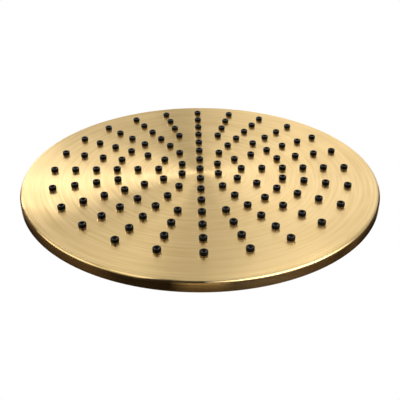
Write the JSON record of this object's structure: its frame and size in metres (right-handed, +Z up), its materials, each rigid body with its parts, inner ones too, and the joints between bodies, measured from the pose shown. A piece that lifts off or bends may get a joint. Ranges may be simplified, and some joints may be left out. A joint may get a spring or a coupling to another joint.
{
  "type": "rain shower head",
  "caption": "Slim round rain shower head: a circular-brushed gold disc with rings of black silicone nozzles, hung from a ball joint with a threaded inlet.",
  "frame": {"origin": "on the inlet's axis, where the inlet thread begins, just inside its mouth", "axes": "+Z up, out of the inlet's mouth, with the spray face looking down along -Z; +Y along a column of nozzles"},
  "size_m": [0.3, 0.3, 0.058],
  "materials": {
    "gold_sheet": "satin",
    "gold_brass": "satin",
    "steel": "satin",
    "black_silicone": "satin",
    "black_rubber": "matte",
    "white_plastic": "satin"
  },
  "bodies": {
    "inlet": {"ball_connector": "gold_brass", "inlet_washer": "black_rubber", "filter_mesh": "steel", "flow_limiter": "white_plastic", "limiter_ring": "black_rubber"},
    "seat": {"slip_ring": "white_plastic"},
    "head": {"face_plate": "gold_sheet", "back_plate": "gold_sheet", "support_posts": "steel", "nozzle_center": "black_silicone", "nozzle_ring_1": "black_silicone", "nozzle_ring_2": "black_silicone", "nozzle_ring_3": "black_silicone", "nozzle_ring_4": "black_silicone", "nozzle_ring_5": "black_silicone", "nozzle_ring_6": "black_silicone", "nozzle_ring_7": "black_silicone", "inlet_boss": "gold_brass", "ball_seal": "black_rubber", "cap_nut": "gold_brass"}
  },
  "joints": [
    {"name": "head_swivel", "type": "hinge", "parent": "inlet", "child": "seat", "pos_m": [0, 0, -0.0321], "axis": [0, 0, 1], "continuous": true},
    {"name": "head_tilt", "type": "hinge", "parent": "seat", "child": "head", "pos_m": [0, 0, -0.0321], "axis": [1, 0, 0], "range_deg": [-15, 15]}
  ]
}
